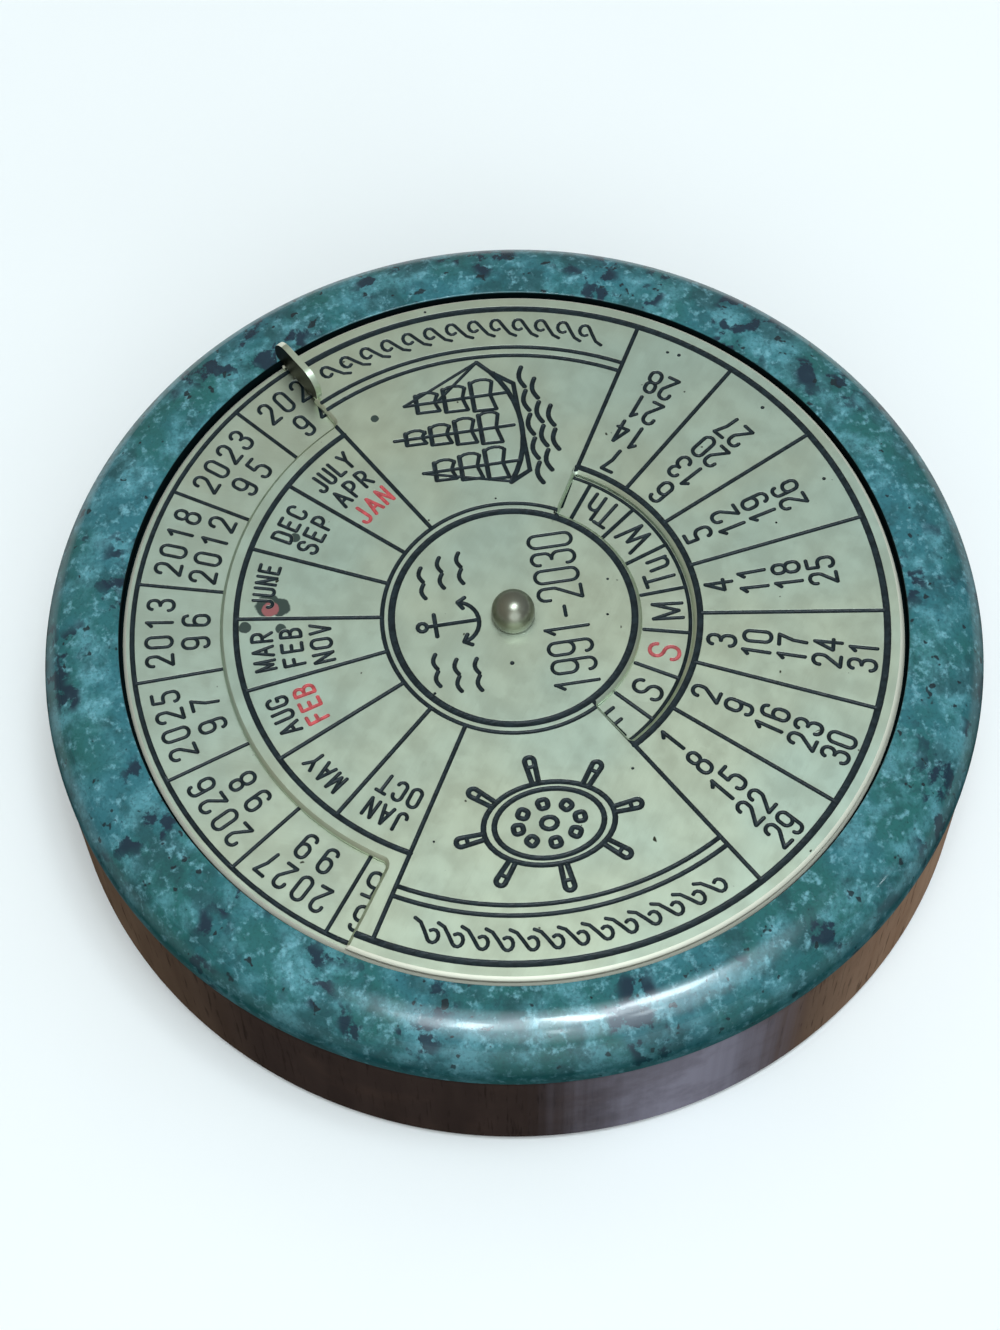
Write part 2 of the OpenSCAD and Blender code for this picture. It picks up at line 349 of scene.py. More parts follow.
# %% Wooden base
wood_z = bottom("wood_base")
wood_top = top("wood_base")
base = section("base_turned", 0, base_r, wood_z, wood_top)
edit(base)
round_corner(base, base_r, wood_top, 0.4, 4)
round_corner(base, base_r, wood_z, 0.6, 5)
turn(base)
felt_r = reach("felt_pad")
felt_room, felt_well_depth = 0.4, 0.8
nut_well_r, nut_well_depth = 6, 6
combine(base, disc("felt_well", felt_r + felt_room, wood_z - 1, wood_z + felt_well_depth))
combine(base, disc("nut_well", nut_well_r, wood_z - 1, wood_z + nut_well_depth, 96))
combine(base, disc("bore", bore_r, wood_z - 1, wood_top + 1, 48))
smooth(base)
report(base)

# %% Felt pad
felt_top = top("felt_pad")
felt = disc("felt_disc", felt_r, 0, felt_top, 160)
edit(felt)
pick(felt, "faces", lambda p: p.xy.length < 1)
felt_rings = 12
for ring_number in range(felt_rings):
    bpy.ops.mesh.inset(thickness=felt_r / (felt_rings + 1) * MM)
bpy.ops.object.mode_set(mode="OBJECT")
for height in (0, felt_top):
    ease_rims(felt, height, 0.25)
smooth(felt, 50)
report(felt)

# %% [markdown]
# ## Lettering made of strokes
#
# The real plates are photo-etched and the etching is filled with enamel. The letters are thin,
# round-ended strokes of one width, as a draughtsman's stencil draws them. So each character is
# a few paths of straight pieces in a box one unit high and about 0.6 wide. Once a path is on
# the plate, each of its corners is rounded by half a letter's width. A corner that has to stay
# sharp is simply where one path ends and the next begins.

# %% Arcs and boxes
def arc(cx, cy, rx, ry, start, end, step=15):
    """Points along part of an ellipse, from one angle to another."""
    count = max(2, round(abs(end - start) / step) + 1)
    angles = [math.radians(start + (end - start) * i / (count - 1)) for i in range(count)]
    return [(cx + rx * math.cos(a), cy + ry * math.sin(a)) for a in angles]


def ring(cx, cy, rx, ry, step=15):
    """A closed ellipse. Its first point comes again at the end."""
    return arc(cx, cy, rx, ry, 0, 360, step)


def frame_of(x_low, y_low, x_high, y_high):
    """A closed box. Its corners are rounded later, which makes it an oval."""
    return [(x_low, y_low), (x_high, y_low), (x_high, y_high), (x_low, y_high), (x_low, y_low)]


# %% The alphabet
STEM = [(.06, 0), (.06, 1)]
GLYPHS = {
    "0": [frame_of(.02, 0, .58, 1)],
    "1": [[(.36, 1), (.36, 0)], [(.36, .98), (.14, .8)]],
    "2": [[(.04, .74), (.04, 1), (.57, 1), (.57, .6), (.03, 0)], [(.03, 0), (.58, 0)]],
    "3": [[(.04, .82), (.04, 1), (.55, 1), (.55, .53), (.26, .53)],
          [(.26, .53), (.58, .53), (.58, 0), (.02, 0), (.02, .2)]],
    "4": [[(.44, 0), (.44, 1)], [(.44, 1), (.02, .32)], [(.02, .32), (.6, .32)]],
    "5": [[(.54, 1), (.1, 1)], [(.1, 1), (.07, .6)], [(.07, .6), (.57, .6), (.57, 0), (.02, 0), (.02, .18)]],
    "6": [frame_of(.03, 0, .57, .58), [(.54, .84), (.54, 1), (.03, 1), (.03, .3)]],
    "7": [[(.02, 1), (.58, 1)], [(.58, 1), (.32, .5), (.24, 0)]],
    "8": [frame_of(.06, .53, .54, 1), frame_of(.02, 0, .58, .53)],
    "9": [frame_of(.03, .42, .57, 1), [(.57, .7), (.57, 0), (.06, 0), (.06, .16)]],
    "-": [[(.08, .46), (.52, .46)]],
    "A": [[(0, 0), (.3, 1)], [(.3, 1), (.6, 0)], [(.12, .36), (.48, .36)]],
    "B": [STEM, [(.06, 1), (.53, 1), (.53, .53), (.06, .53)],
          [(.06, .53), (.58, .53), (.58, 0), (.06, 0)]],
    "C": [[(.58, .76), (.58, 1), (.04, 1), (.04, 0), (.58, 0), (.58, .24)]],
    "D": [STEM, [(.06, 1), (.57, 1), (.57, 0), (.06, 0)]],
    "E": [STEM, [(.06, 1), (.56, 1)], [(.06, .52), (.46, .52)], [(.06, 0), (.56, 0)]],
    "F": [[(.08, 0), (.08, 1)], [(.08, 1), (.56, 1)], [(.08, .52), (.46, .52)]],
    "G": [[(.58, .78), (.58, 1), (.03, 1), (.03, 0), (.58, 0), (.58, .46)], [(.58, .46), (.36, .46)]],
    "J": [[(.5, 1), (.5, 0), (.02, 0), (.02, .24)]],
    "L": [[(.08, 1), (.08, 0)], [(.08, 0), (.56, 0)]],
    "M": [[(.02, 0), (.02, 1)], [(.02, 1), (.3, .12)], [(.3, .12), (.58, 1)], [(.58, 1), (.58, 0)]],
    "N": [[(.04, 0), (.04, 1)], [(.04, 1), (.56, 0)], [(.56, 0), (.56, 1)]],
    "O": [frame_of(.01, 0, .59, 1)],
    "P": [STEM, [(.06, 1), (.57, 1), (.57, .46), (.06, .46)]],
    "R": [STEM, [(.06, 1), (.57, 1), (.57, .48), (.06, .48)], [(.28, .48), (.6, 0)]],
    "S": [[(.56, .78), (.56, 1), (.04, 1), (.04, .54), (.57, .5), (.57, 0), (.02, 0), (.02, .22)]],
    "T": [[(0, 1), (.6, 1)], [(.3, 1), (.3, 0)]],
    "U": [[(.04, 1), (.04, 0), (.56, 0), (.56, 1)]],
    "V": [[(.02, 1), (.3, 0)], [(.3, 0), (.58, 1)]],
    "W": [[(-.04, 1), (.12, 0)], [(.12, 0), (.3, .8)], [(.3, .8), (.48, 0)], [(.48, 0), (.64, 1)]],
    "Y": [[(.0, 1), (.3, .5)], [(.3, .5), (.6, 1)], [(.3, .5), (.3, 0)]],
    "h": [STEM, [(.06, .36), (.06, .64), (.54, .64), (.54, 0)]],
    "u": [[(.06, .68), (.06, 0), (.54, 0), (.54, .4)], [(.54, .68), (.54, 0)]],
}
print("characters", len(GLYPHS))

# %% [markdown]
# ## Setting the words out
#
# A job is a list of strokes, each with its width. Words stand round the pin: years and months
# with their feet towards it, dates and days with their heads towards it. Only the span of years
# in the middle is written on a straight line.

# %% Rounding corners
def rounded(points, most):
    """Rounds a path's corners by a radius, or by less where its straight pieces are short."""
    closed = (points[0] - points[-1]).length < 1e-6
    if closed:
        points = points[:-1]
    smoothed = []
    count = len(points)
    for i, corner in enumerate(points):
        if not closed and i in (0, count - 1):
            smoothed.append(corner)
            continue
        before, after = points[i - 1] - corner, points[(i + 1) % count] - corner
        share = [1 if not closed and end in (0, count - 1) else 0.5 for end in (i - 1, i + 1)]
        opening = before.angle(after) / 2
        cut = min(most / math.tan(opening), before.length * share[0], after.length * share[1])
        before.normalize()
        after.normalize()
        centre = corner + (before + after).normalized() * cut / math.cos(opening)
        start = corner + before * cut - centre
        turned = math.pi - 2 * opening
        sign = 1 if before.cross(after) < 0 else -1
        steps = max(2, round(math.degrees(turned) / 18))
        for step in range(steps + 1):
            c, d = math.cos(sign * turned * step / steps), math.sin(sign * turned * step / steps)
            smoothed.append(centre + Vector((start.x * c - start.y * d, start.x * d + start.y * c)))
    return smoothed + smoothed[:1] if closed else smoothed


# %% Strokes
shortest = 0.03          # straight pieces that are shorter are left out


def line(job, points, width):
    """Adds a stroke, without points that lie on each other."""
    kept = [Vector(points[0])]
    for point in map(Vector, points[1:]):
        if (point - kept[-1]).length > shortest:
            kept.append(point)
    job.append((kept, width))


def polar(radius, degrees):
    """A point on the plates by its distance and angle from the pin."""
    return Vector((math.cos(math.radians(degrees)), math.sin(math.radians(degrees)))) * radius


def round_line(job, radius, start, end, width):
    """Adds part of a circle round the pin."""
    line(job, arc(0, 0, radius, radius, start, end, 2.5), width)


def spoke(job, degrees, r_in, r_out, width):
    """Adds a line that runs out from the middle."""
    line(job, [polar(r_in, degrees), polar(r_out, degrees)], width)


# %% Words
def write(job, text, place, height, width, pitch, stroke):
    """Adds a word. place(along) gives a letter's foot, its right and its up from its distance along."""
    for i, character in enumerate(text):
        foot, right, up = place((i - (len(text) - 1) / 2) * pitch)
        for points in GLYPHS.get(character, []):
            path = [foot + right * (x - .3) / .6 * width + up * y * height for x, y in points]
            line(job, rounded(path, width / 2), stroke)


def feet_in(radius, middle):
    """A place on a circle for letters that stand with their feet towards the pin."""
    def place(along):
        degrees = middle - math.degrees(along / radius)
        return polar(radius, degrees), polar(1, degrees - 90), polar(1, degrees)
    return place


def heads_in(radius, middle):
    """A place on a circle for letters that stand with their heads towards the pin."""
    def place(along):
        degrees = middle + math.degrees(along / radius)
        return polar(radius, degrees), polar(1, degrees + 90), -polar(1, degrees)
    return place


def level(x, y):
    """A place on a straight line."""
    return lambda along: (Vector((x + along, y)), Vector((1, 0)), Vector((0, 1)))


# %% [markdown]
# ## What the dial says
#
# A week has seven columns, and the plates are divided by three sets of seven, so a column is a
# 21st of the turn. One third of the dial holds the months, in the order that their first day
# falls on, one third holds the dates, and two narrow sectors between them hold ornaments.

# %% Lines on the dial
column = 360 / 21
ring_w = 0.6
line_w = 0.36
letter_w = 0.3
black, red = [], []

# Each line: its radius, the angles it runs between, and its width.
ROUND_LINES = [(33.55, 0, 360, ring_w), (10.95, 0, 360, ring_w), (11.8, -30, 210, line_w),
               (24.95, 30, 150, 0.5), (16.8, 210, 330, 0.55)]
ROUND_LINES += [(radius, middle - 30, middle + 30, 0.4) for middle in (0, 180) for radius in (28.2, 29.15)]
for radius, start, end, width in ROUND_LINES:
    round_line(black, radius, start, end, width)
for i in range(8):
    border = i in (0, 7)
    spoke(black, 30 + i * column, 11.8, 33.5 if border else 25, line_w)
    spoke(black, 210 + i * column, 11.0 if border else 16.8, 33.5, line_w)

# %% Months and dates
months = [["JAN", "OCT"], ["MAY"], ["AUG", "FEB*"], ["MAR", "FEB", "NOV"], ["JUNE"],
          ["DEC", "SEP"], ["JULY", "APR", "JAN*"]]
month_feet = (21.75, 19.15, 16.5)
for i, words in enumerate(months):
    middle = 150 - (i + 0.5) * column
    for radius, word in zip(month_feet, words):
        leap = word.endswith("*")
        letters = word.strip("*")
        width, pitch = (0.8, 1.14) if len(letters) == 4 else (0.92, 1.38)
        write(red if leap else black, letters, feet_in(radius, middle), 1.8, width, pitch, letter_w)

first_date_r, date_row = 20.05, 3.16
for date in range(1, 32):
    row, place_in_week = divmod(date - 1, 7)
    place = heads_in(first_date_r + date_row * row, 210 + (place_in_week + 0.5) * column)
    write(black, str(date), place, height=2.45, width=1.12, pitch=1.68, stroke=0.33)
write(black, "1991-2030", level(-0.3, -6.5), height=3.95, width=1.4, pitch=1.87, stroke=letter_w)
print("strokes on the dial so far", len(black), "and in red", len(red))

# %% [markdown]
# ## What the year plate says
#
# Every cell holds the years that begin alike, and leap years are set by March to December. So a
# column's years are worked out from the calendar and not typed in: the weekday of the first of
# March sorts them. A year before 2000 is written with two figures. The days of three weeks go
# round the middle, so that the window shows a whole week wherever the dial stands.

# %% Lines and years
from datetime import date as day_of

year_job, year_red_job = [], []
round_line(year_job, 34.35, 0, 360, 0.42)
round_line(year_job, 15.95, 0, 360, 0.3)
for i in range(21):
    spoke(year_job, 5.9 + i * column, 26.4, 34.35, 0.32)
    spoke(year_job, 15.5 + i * column, 11.8, 15.95, 0.34)


def first_of_march(year):
    """The weekday that a year's first of March falls on."""
    return day_of(year, 3, 1).weekday()


def written(some_years):
    """A year as it is written: 2013, 96, or 91 02 where two share a place."""
    if len(some_years) == 1 and some_years[0] > 1999:
        return str(some_years[0])
    return " ".join(str(year)[2:] for year in some_years)


first_cell = 134.5       # angle of the first of the seven cells that the notch shows
shown = [(2027, 1999), (2026, 1998), (2025, 1997), (2013, 1996), (2018, 2012), (2023, 1995), (2022, 1994)]
for i, pair in enumerate(shown):
    rest = [year for year in range(2030, 1990, -1)
            if first_of_march(year) == first_of_march(pair[0]) and year not in pair]
    between = rest[1:min(3, len(rest) - 1)]
    last = rest[len(between) + 1:]
    cells = [([pair[0]], [pair[1]]), (between[:1], between[1:]), (rest[:1], last[::-1])]
    for third, (outer, inner) in enumerate(cells):
        middle = first_cell - (i + 7 * third) * column
        for radius, group in ((30.75, outer), (27.45, inner)):
            word = written(group)
            pitch = {2: 2.25, 4: 1.85}.get(len(word), 1.48)
            write(year_job, word, feet_in(radius, middle), height=2.35, width=1.12, pitch=pitch,
                  stroke=letter_w)

# %% Days
days = ["F", "S", "S*", "M", "Tu", "W", "Th"]
first_day = -147.4       # angle of the first day that the window shows
letter_widths = {"M": 1.6, "W": 1.9, "Tu": 1.15, "Th": 1.15}
for i in range(21):
    word = days[i % 7].strip("*")
    sunday = days[i % 7] == "S*"
    write(year_red_job if sunday else year_job, word, heads_in(15.3, first_day + i * column),
          height=2.7, width=letter_widths.get(word, 1.4), pitch=1.65, stroke=0.32)
print("strokes on the year plate", len(year_job), "and in red", len(year_red_job))

# %% [markdown]
# ## The ship's wheel
#
# The left sector carries a ship's wheel. It is drawn with a few closed curves: two rims, a hub,
# eight petals that stand for the spokes' roots, and eight turned handles, each an outline with
# a rounded knob and a short line across it. The whole figure is narrower than it is tall.

# %% Ship's wheel
wheel_x, wheel_y = -20.75, 0.2
squeeze = 0.68           # width of the wheel as a share of its height
wheel_w = 0.46
handle_w = 0.44


def on_wheel(radius, degrees, narrow=squeeze):
    """A point on the wheel by its distance and angle from the hub, before it is squeezed."""
    a = math.radians(degrees)
    return Vector((wheel_x + radius * narrow * math.cos(a), wheel_y + radius * math.sin(a)))


def axes(from_point, to_point):
    """The way from one point to another, and the way to its left."""
    out = (to_point - from_point).normalized()
    return out, Vector((-out.y, out.x))


for radius in (5.75, 4.8):
    line(black, [on_wheel(radius, a) for a in range(0, 361, 8)], wheel_w)
line(black, ring(wheel_x, wheel_y, 0.58, 0.7, 24), 0.42)
for i in range(8):
    degrees = 5.5 + 45 * i
    petal = on_wheel(2.75, degrees)
    out, side = axes(Vector((wheel_x, wheel_y)), petal)
    petal_box = frame_of(-0.42, -0.42, 0.42, 0.42)
    line(black, rounded([petal + side * x * (1 + 0.25 * y) + out * y for x, y in petal_box], 0.3), handle_w)
    root, knob = on_wheel(5.85, degrees), on_wheel(7.85, degrees, 0.78)
    out, side = axes(root, knob)
    tip = [knob + side * 0.42 * math.cos(math.radians(a)) + out * 0.42 * math.sin(math.radians(a))
           for a in range(0, 181, 20)]
    line(black, [root + side * 0.28] + tip + [root - side * 0.28], handle_w)
    line(black, [knob - side * 0.3 - out * 0.55, knob + side * 0.3 - out * 0.55], 0.34)

# %% [markdown]
# ## A ship under sail
#
# The right sector carries a plain three-master of this lesson's own drawing: a hull from an arc
# and a bent line, masts, square sails that bulge with the wind, stays, and rows of waves.

# %% Ship under sail
ship_x, ship_y = 20.1, -3.1


def ship(points, width):
    """Adds a stroke of the ship, whose middle is at the waterline."""
    line(black, [(ship_x + 1.12 * x, ship_y + 1.2 * y) for x, y in points], width)


ship(arc(0, 5.6, 8.2, 6.4, 228, 312, 8), 0.46)
ship([(-5.5, 0.85), (-4.6, -0.75), (4.1, -0.75), (5.5, 0.85)], 0.46)
ship([(5.3, 0.7), (6.7, 1.8)], 0.42)
for mast_x, mast_top, sails in ((-3.5, 7.4, 3), (0, 9.2, 4), (3.3, 8.0, 3)):
    ship([(mast_x, -0.2), (mast_x, mast_top)], 0.34)
    sail_room = (mast_top - 1.4) / sails
    for level_up in range(sails):
        foot = 0.9 + level_up * sail_room
        head = foot + sail_room * 0.78
        wide = 1.42 - 0.28 * level_up
        ship([(mast_x - wide * 1.05, foot), (mast_x - wide, head)], 0.32)
        ship([(mast_x - wide, head), (mast_x + wide, head)], 0.42)
        ship(arc(mast_x + wide - 0.25, (foot + head) / 2, 0.45, (head - foot) / 2, 90, -90, 30), 0.32)
        ship([(mast_x - wide * 1.05, foot), (mast_x, foot + 0.3), (mast_x + wide * 0.9, foot)], 0.34)
for start, end in (((6.7, 1.8), (3.3, 8.0)), ((6.7, 1.8), (3.3, 5.4)), ((-5.4, 0.9), (-3.5, 7.4))):
    ship([start, end], 0.28)


def wave(x, y, length, height):
    """A single low wave."""
    return [(x + length * t / 6, y + height * math.sin(math.pi * t / 6)) for t in range(7)]


crest = 2.0
for wave_y, first, waves in ((-1.6, -6.0, 5), (-2.45, -4.9, 4), (-3.3, -3.0, 2)):
    for i in range(waves):
        ship(wave(first + i * (crest + 0.4), wave_y, crest, 0.32), 0.42)
print("strokes with both ships' figures", len(black))

# %% [markdown]
# ## Borders and the ornament in the middle
#
# Along the rim of the two narrow sectors runs a wave scroll, a border as old as the sea trade.
# Above the pin stands a small anchor with waves on both sides.

# %% Borders
def scroll(middle, half, radius, height, pitch):
    """A row of curling waves along part of the rim."""
    count = int(2 * half / math.degrees(pitch / radius))
    for i in range(count):
        start = middle - half + (i + 0.5) * 2 * half / count
        rise = [(-0.55, -0.5), (-0.25, -0.36), (0.0, -0.02), (0.2, 0.3)]
        for part in (rise, arc(0.4, 0.14, 0.24, 0.3, 140, -130, 30)):
            line(black, [polar(radius + y * height, start + math.degrees(x * pitch / radius))
                         for x, y in part], letter_w)


for middle in (0, 180):
    scroll(middle, 25, 31.45, 2.0, 2.0)

# %% Anchor and pits
anchor_x, anchor_y = 0.1, 3.1


def anchor(points, width=0.36):
    """Adds a stroke of the anchor, whose middle is at the foot of its shank."""
    line(black, [(anchor_x + x, anchor_y + y) for x, y in points], width)


anchor(ring(0, 5.15, 0.42, 0.42, 30))
anchor([(0, 4.7), (0, 0)])
anchor([(-1.15, 3.95), (1.15, 3.95)])
anchor(arc(0, 2.0, 2.1, 2.0, 190, 350, 12))
for side in (-1, 1):
    anchor([(side * 2.05, 1.65), (side * 2.45, 0.95)])
    anchor([(side * 2.05, 1.65), (side * 1.35, 1.25)])
    for wave_y, first in ((4.4, 2.9), (2.6, 3.7), (0.8, 3.9)):
        for i in range(2):
            anchor(wave(side * (first + 1.75 * i), wave_y, side * 1.5, 0.3))

# Small pits in the etching: x, y and width.
PITS = ((-20.9, 10.3, 0.16), (-16.8, -7.85, 0.22), (-4.8, 0.85, 0.36), (-1.3, -8.4, 0.2), (2.3, -9.05, 0.2),
        (-6.7, 8.1, 0.22), (12.4, -0.4, 0.14), (26.2, -2.4, 0.2), (34.1, 3.0, 0.2),
        (9.5, -30.6, 0.3), (18.1, -26.6, 0.32), (25.2, -20.0, 0.3), (25.7, -19.0, 0.26), (5.6, -25.3, 0.16))
for x, y, width in PITS:
    line(black, [(x, y), (x + 0.05, y + 0.02)], width)
print("strokes on the dial", len(black) + len(red))

# %% [markdown]
# ## The graver
#
# One flat profile serves every groove: a narrow bevelled lip that stays bright, steep walls,
# and a flat floor. Blender sweeps it along each stroke as the bevel of a curve. The curve's
# points can shrink the profile, which rounds the groove's ends. Strokes that touch can't be in
# one tool, since a tool may not cross itself, so they are shared out over passes.

# %% Profile of a groove
groove_depth = 0.12
lip = 0.04
half = 0.5
GROOVE = [(half + 2 * lip, lip), (half, -lip), (half - 0.04, -0.09), (half - 0.16, -groove_depth)]
GROOVE += [(-x, z) for x, z in reversed(GROOVE)]


def in_scene(name, data):
    """Puts a curve, a lamp or a camera in the scene."""
    obj = bpy.data.objects.new(name, data)
    bpy.context.scene.collection.objects.link(obj)
    return obj


def add_path(curve, knots, closed):
    """Adds a path to a curve. A knot is its x, y and z in millimetres and its radius."""
    spline = curve.splines.new("POLY")
    spline.points.add(len(knots) - 1)
    spline.use_cyclic_u = closed
    for point, (x, y, z, size) in zip(spline.points, knots):
        point.co = (x * MM, y * MM, z * MM, 1)
        point.radius = size


def groove_profile(width):
    """The section of a groove whose dark part has that width."""
    curve = bpy.data.curves.new("groove_profile", "CURVE")
    curve.dimensions = "2D"
    thinnest = 0.03
    wide = [math.copysign(max(thinnest, abs(x) + width / 2 - half), x) for x, _ in GROOVE]
    add_path(curve, [(x, z, 0, 1) for x, (_, z) in zip(wide, GROOVE)], True)
    return in_scene("groove_profile", curve)


def is_closed(points):
    """Whether a stroke ends where it starts."""
    return len(points) > 6 and (points[0] - points[-1]).length < 0.01


def with_round_ends(points, width):
    """Points with a radius each. Both ends run on by half a width and shrink to a round."""
    if is_closed(points):
        return [(p, 1) for p in points[:-1]]
    ends = []
    for tip, inner in ((points[0], points[1]), (points[-1], points[-2])):
        out = (tip - inner).normalized() * width / 2
        ends.append([(tip + out * t, math.sqrt(max(0.001, 1 - t * t))) for t in (1, 0.87, 0.5)])
    return ends[0] + [(p, 1) for p in points] + ends[1][::-1]


print(f"grooves are {groove_depth} mm deep, with a lip of {lip} mm")

# %% Sharing strokes out over passes
clearance = 0.55         # between the grooves of one pass


def trace(points, spacing=0.35):
    """Points close together along a stroke, to measure how near it comes to another."""
    dense = []
    for a, b in zip(points, points[1:]):
        count = max(1, int((b - a).length / spacing))
        dense += [a.lerp(b, i / count) for i in range(count)]
    return np.array(dense + [points[-1]])


def apart(dots, low, high, width, other):
    """Whether a stroke stays clear of one that is already in a pass."""
    _, other_width, other_dots, other_low, other_high = other
    gap = (width + other_width) / 2 + clearance
    if (low > other_high + gap).any() or (high < other_low - gap).any():
        return True
    steps = dots[:, None] - other_dots[None]
    return (steps ** 2).sum(2).min() > gap ** 2


def share_out(strokes):
    """Sorts strokes into passes in which none touches another."""
    passes = []
    for points, width in strokes:
        dots = trace(points)
        low, high = dots.min(0), dots.max(0)
        for cuts in passes:
            if all(apart(dots, low, high, width, other) for other in cuts):
                break
        else:
            cuts = []
            passes.append(cuts)
        cuts.append((points, width, dots, low, high))
    return passes


# %% Engraving
def divide(plate, spacing=5.3, edge=36.13):
    """Cuts a plate into squares, so that no face has to run round a whole sector's letters."""
    edit(plate)
    for i in range(int(2 * edge / spacing) + 1):
        start = i * spacing - edge
        for across in ((1, 0, 0), (0, 1, 0)):
            slice_at(start, start, 0, across)
    bpy.ops.object.mode_set(mode="OBJECT")


def engrave(plate, strokes, height, enamel):
    """Cuts strokes into a face at a height and fills them with an enamel."""
    passes = share_out(strokes)
    for cuts in passes:
        for width in sorted({cut[1] for cut in cuts}):
            curve = bpy.data.curves.new("graver", "CURVE")
            curve.dimensions = "3D"
            curve.twist_mode = "Z_UP"
            curve.bevel_mode = "OBJECT"
            curve.bevel_object = groove_profile(width)
            curve.use_fill_caps = True
            curve.materials.append(enamel)
            for points in (cut[0] for cut in cuts if cut[1] == width):
                knots = [(p.x, p.y, height, size) for p, size in with_round_ends(points, width)]
                add_path(curve, knots, is_closed(points))
            only(in_scene("graver", curve))
            bpy.ops.object.convert(target="MESH")
            bpy.data.objects.remove(bpy.data.objects["groove_profile"])
            tool = bpy.context.object
            edit(tool)
            done(tool, 0.0002)
            combine(plate, tool)
    print(f"{plate.name}: {len(strokes)} strokes in {len(passes)} passes")

# %% [markdown]
# ## Finishes
#
# Every finish is procedural: a few layers of noise in the object's own millimetres, so it has
# the right scale from any distance. Four effects come back in several finishes, and each is a
# node group: clouds (a soft mask of patches), hairlines (fine strokes along one direction, as
# rolling and polishing leave them), near_face (a mask that is full at a height and fades out
# below it) and spot (one ragged patch at a chosen place). The shaders themselves stay in the
# materials, and every material is built layer by layer: each tint covers what is there so far.

# %% Nodes by name
class Nodes:
    """A node tree with short ways of adding to it."""

    def __init__(self, tree):
        self.tree = tree

    def feed(self, socket, value):
        """Links a node's output to a socket, or fills the socket with a plain value."""
        if isinstance(value, bpy.types.NodeSocket):
            self.tree.links.new(value, socket)
        else:
            socket.default_value = value

    def add(self, kind, inputs=None, **settings):
        """Adds a shader node, sets it and feeds its inputs. Returns its outputs."""
        node = self.tree.nodes.new("ShaderNode" + kind)
        for name, value in settings.items():
            setattr(node, name, value)
        for name, value in (inputs or {}).items():
            self.feed(node.inputs[name], value)
        return node.outputs

    def calc(self, operation, *values):
        """The result of a Math node."""
        return self.add("Math", dict(enumerate(values)), operation=operation)[0]

    def vector(self, operation, *places):
        """The result of a Vector Math node: a place, or a number where the operation gives one."""
        results = self.add("VectorMath", dict(enumerate(places)), operation=operation)
        return results["Value" if operation in ("DISTANCE", "DOT_PRODUCT", "LENGTH") else "Vector"]

    def spread(self, value, low, high, start=0.0, end=1.0, eased=False):
        """Maps a value from one range onto another, such as a mask onto a roughness."""
        return self.add("MapRange", {"Value": value, "From Min": start, "From Max": end,
                                     "To Min": low, "To Max": high},
                        interpolation_type="SMOOTHSTEP" if eased else "LINEAR")["Result"]

    def mix(self, factor, a, b, blend="MIX"):
        """A colour between two others."""
        return self.add("Mix", {0: factor, 6: a, 7: b}, data_type="RGBA", blend_type=blend)[2]


# %% Shared effects
class Effect(Nodes):
    """A node group that makes a mask from a place and a few numbers."""

    def __init__(self, name, **inputs):
        super().__init__(bpy.data.node_groups.new(name, "ShaderNodeTree"))
        sockets = self.tree.interface
        sockets.new_socket("Vector", in_out="INPUT", socket_type="NodeSocketVector")
        for socket, value in inputs.items():
            sockets.new_socket(socket, in_out="INPUT", socket_type="NodeSocketFloat").default_value = value
        sockets.new_socket("Mask", in_out="OUTPUT", socket_type="NodeSocketFloat")
        self.given = self.tree.nodes.new("NodeGroupInput").outputs

    def gives(self, value):
        """Makes a value the group's result."""
        self.feed(self.tree.nodes.new("NodeGroupOutput").inputs["Mask"], value)


clouds = Effect("clouds", Scale=1, Detail=4, Low=0.4, High=0.6)
given = clouds.given
noise = clouds.add("TexNoise", {"Vector": given["Vector"], "Scale": given["Scale"],
                                "Detail": given["Detail"], "Roughness": 0.6})["Fac"]
clouds.gives(clouds.spread(noise, 0, 1, given["Low"], given["High"], eased=True))

hairlines = Effect("hairlines", Length=30, Width=0.15, Angle=0)
given = hairlines.given
fine = hairlines.calc("DIVIDE", 1.0, given["Width"])
coarse = hairlines.calc("DIVIDE", 1.0, given["Length"])
stretch = hairlines.add("CombineXYZ", {"X": coarse, "Y": fine, "Z": coarse})["Vector"]
turned = hairlines.add("VectorRotate", {"Vector": given["Vector"], "Angle": given["Angle"]},
                       rotation_type="Z_AXIS")["Vector"]
drawn = hairlines.vector("MULTIPLY", turned, stretch)
hairlines.gives(hairlines.add("TexNoise", {"Vector": drawn, "Scale": 1.0, "Detail": 3.0})["Fac"])

near_face = Effect("near_face", Height=0, Band=0.03)
given = near_face.given
height = near_face.add("SeparateXYZ", {"Vector": given["Vector"]})["Z"]
below = near_face.calc("SUBTRACT", given["Height"], height)
near_face.gives(near_face.spread(below, 0, 1, given["Band"], 0.0))

spot = Effect("spot", X=0, Y=0, Radius=1, Soft=0.08)
given = spot.given
flat = spot.vector("MULTIPLY", given["Vector"], (1, 1, 0))
wobble = spot.add("TexNoise", {"Vector": flat, "Scale": 0.9, "Detail": 3.0})["Fac"]
middle = spot.add("CombineXYZ", {"X": given["X"], "Y": given["Y"]})["Vector"]
share = spot.calc("DIVIDE", spot.vector("DISTANCE", flat, middle), given["Radius"])
ragged = spot.calc("MULTIPLY_ADD", wobble, 0.7, share)
edge = 1.28              # where the patch ends, as its distance in radii plus the wobble
far, near = spot.calc("ADD", edge, given["Soft"]), spot.calc("SUBTRACT", edge, given["Soft"])
spot.gives(spot.spread(ragged, 0, 1, far, near, eased=True))
print("shared effects", [tree.name for tree in bpy.data.node_groups])


